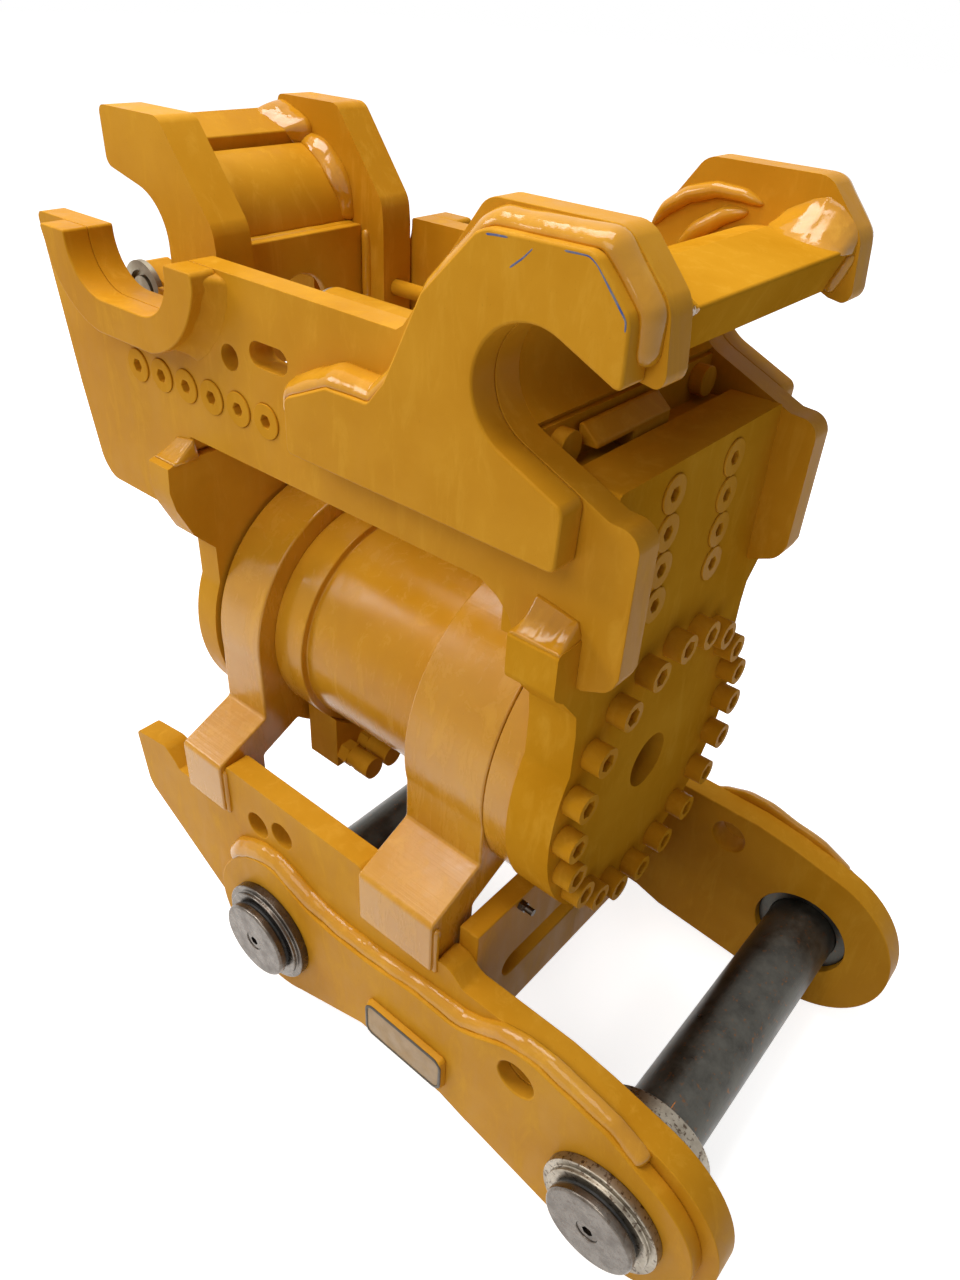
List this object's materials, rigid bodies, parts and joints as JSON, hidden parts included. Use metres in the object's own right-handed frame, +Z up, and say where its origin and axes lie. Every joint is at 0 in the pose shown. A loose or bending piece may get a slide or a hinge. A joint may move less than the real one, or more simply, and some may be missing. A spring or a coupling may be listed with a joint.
{
  "type": "tilting quick coupler",
  "caption": "Excavator quick coupler with hook, sliding jaw and spring latch, tilted by a helical rotary actuator held in a bracket with two pins.",
  "frame": {"origin": "on the ground under the middle of the coupler as it lies on its bracket bosses, hitch up", "axes": "+X along the tilt axis towards the hook, +Y across the coupler to its far side, +Z up"},
  "size_m": [0.8044, 0.44, 0.7825],
  "materials": {
    "yellow_paint": "satin gloss ochre yellow enamel over cut and welded plate",
    "bright_steel": "turned and polished steel, scratched",
    "dark_pin_steel": "dark hardened steel with rust specks",
    "machined_steel": "machined steel",
    "chrome_rod": "hard chrome",
    "black_rubber": "black seal rubber",
    "bronze": "bearing bronze"
  },
  "bodies": {
    "bracket": {"bracket_plate_near": "yellow_paint", "bracket_plate_far": "yellow_paint", "bracket_doubler_near": "yellow_paint", "bracket_doubler_far": "yellow_paint", "bracket_cross_plate": "yellow_paint", "pin_bush_front_near": "bright_steel", "pin_bush_front_far": "bright_steel", "pin_bush_rear_near": "bright_steel", "pin_bush_rear_far": "bright_steel", "front_pin": "dark_pin_steel", "rear_pin": "dark_pin_steel", "front_pin_caps": "bright_steel", "rear_pin_caps": "bright_steel", "pin_cap_screws": "bright_steel", "pin_orings": "black_rubber", "bare_pads": "yellow_paint", "actuator_barrel": "yellow_paint", "front_flange_foot": "yellow_paint", "rear_flange_foot": "yellow_paint", "port_block": "yellow_paint", "port_fittings": "yellow_paint", "ring_gear": "machined_steel", "front_shaft_bearing": "bronze", "rear_shaft_bearing": "bronze", "shaft_seals": "black_rubber", "grease_fitting": "bright_steel"},
    "piston": {"helical_piston": "machined_steel", "piston_seal": "black_rubber"},
    "hitch": {"output_shaft": "yellow_paint", "shaft_end_hub": "machined_steel", "front_end_plate": "yellow_paint", "rear_end_plate": "yellow_paint", "front_end_screws": "yellow_paint", "rear_end_screws": "yellow_paint", "side_plate_near": "yellow_paint", "side_plate_far": "yellow_paint", "hook_doubler_near": "yellow_paint", "hook_doubler_far": "yellow_paint", "saddle_doubler_near": "yellow_paint", "saddle_doubler_far": "yellow_paint", "hook_nose_bar": "yellow_paint", "throat_liner": "yellow_paint", "front_cross_block": "yellow_paint", "cross_block_screws": "yellow_paint", "slide_rail_near": "yellow_paint", "slide_rail_far": "yellow_paint", "rail_screws": "yellow_paint", "guide_rods": "yellow_paint", "lock_cylinder_barrel": "yellow_paint", "lock_cylinder_gland": "machined_steel", "cylinder_anchor_pin": "machined_steel", "latch_spring": "machined_steel"},
    "latch": {"front_pin_latch": "yellow_paint"},
    "jaw": {"jaw_plate_near": "yellow_paint", "jaw_plate_far": "yellow_paint", "jaw_top_bar": "yellow_paint", "jaw_liner": "yellow_paint", "jaw_front_plate": "yellow_paint", "lock_cylinder_rod": "chrome_rod", "rod_end_pin": "machined_steel"}
  },
  "joints": [
    {"name": "tilt", "type": "hinge", "parent": "bracket", "child": "hitch", "pos_m": [-0.01125, 0, 0.3525], "axis": [1, 0, 0], "range_deg": [-67, 67]},
    {"name": "piston_slide", "type": "slide", "parent": "bracket", "child": "piston", "axis": [1, 0, 0], "range_m": [-0.026, 0.026]},
    {"name": "jaw_slide", "type": "slide", "parent": "hitch", "child": "jaw", "axis": [1, 0, 0], "range_m": [0, 0.13]},
    {"name": "latch_slide", "type": "slide", "parent": "hitch", "child": "latch", "axis": [0, 0, 1], "range_m": [-0.01, 0], "stiffness_N_per_m": 1500, "springref_m": 0.006, "deforming": ["latch_spring"]}
  ],
  "couplings": [
    {"joint": "piston_slide", "follows": "tilt", "m_per_rad": 0.0214}
  ]
}
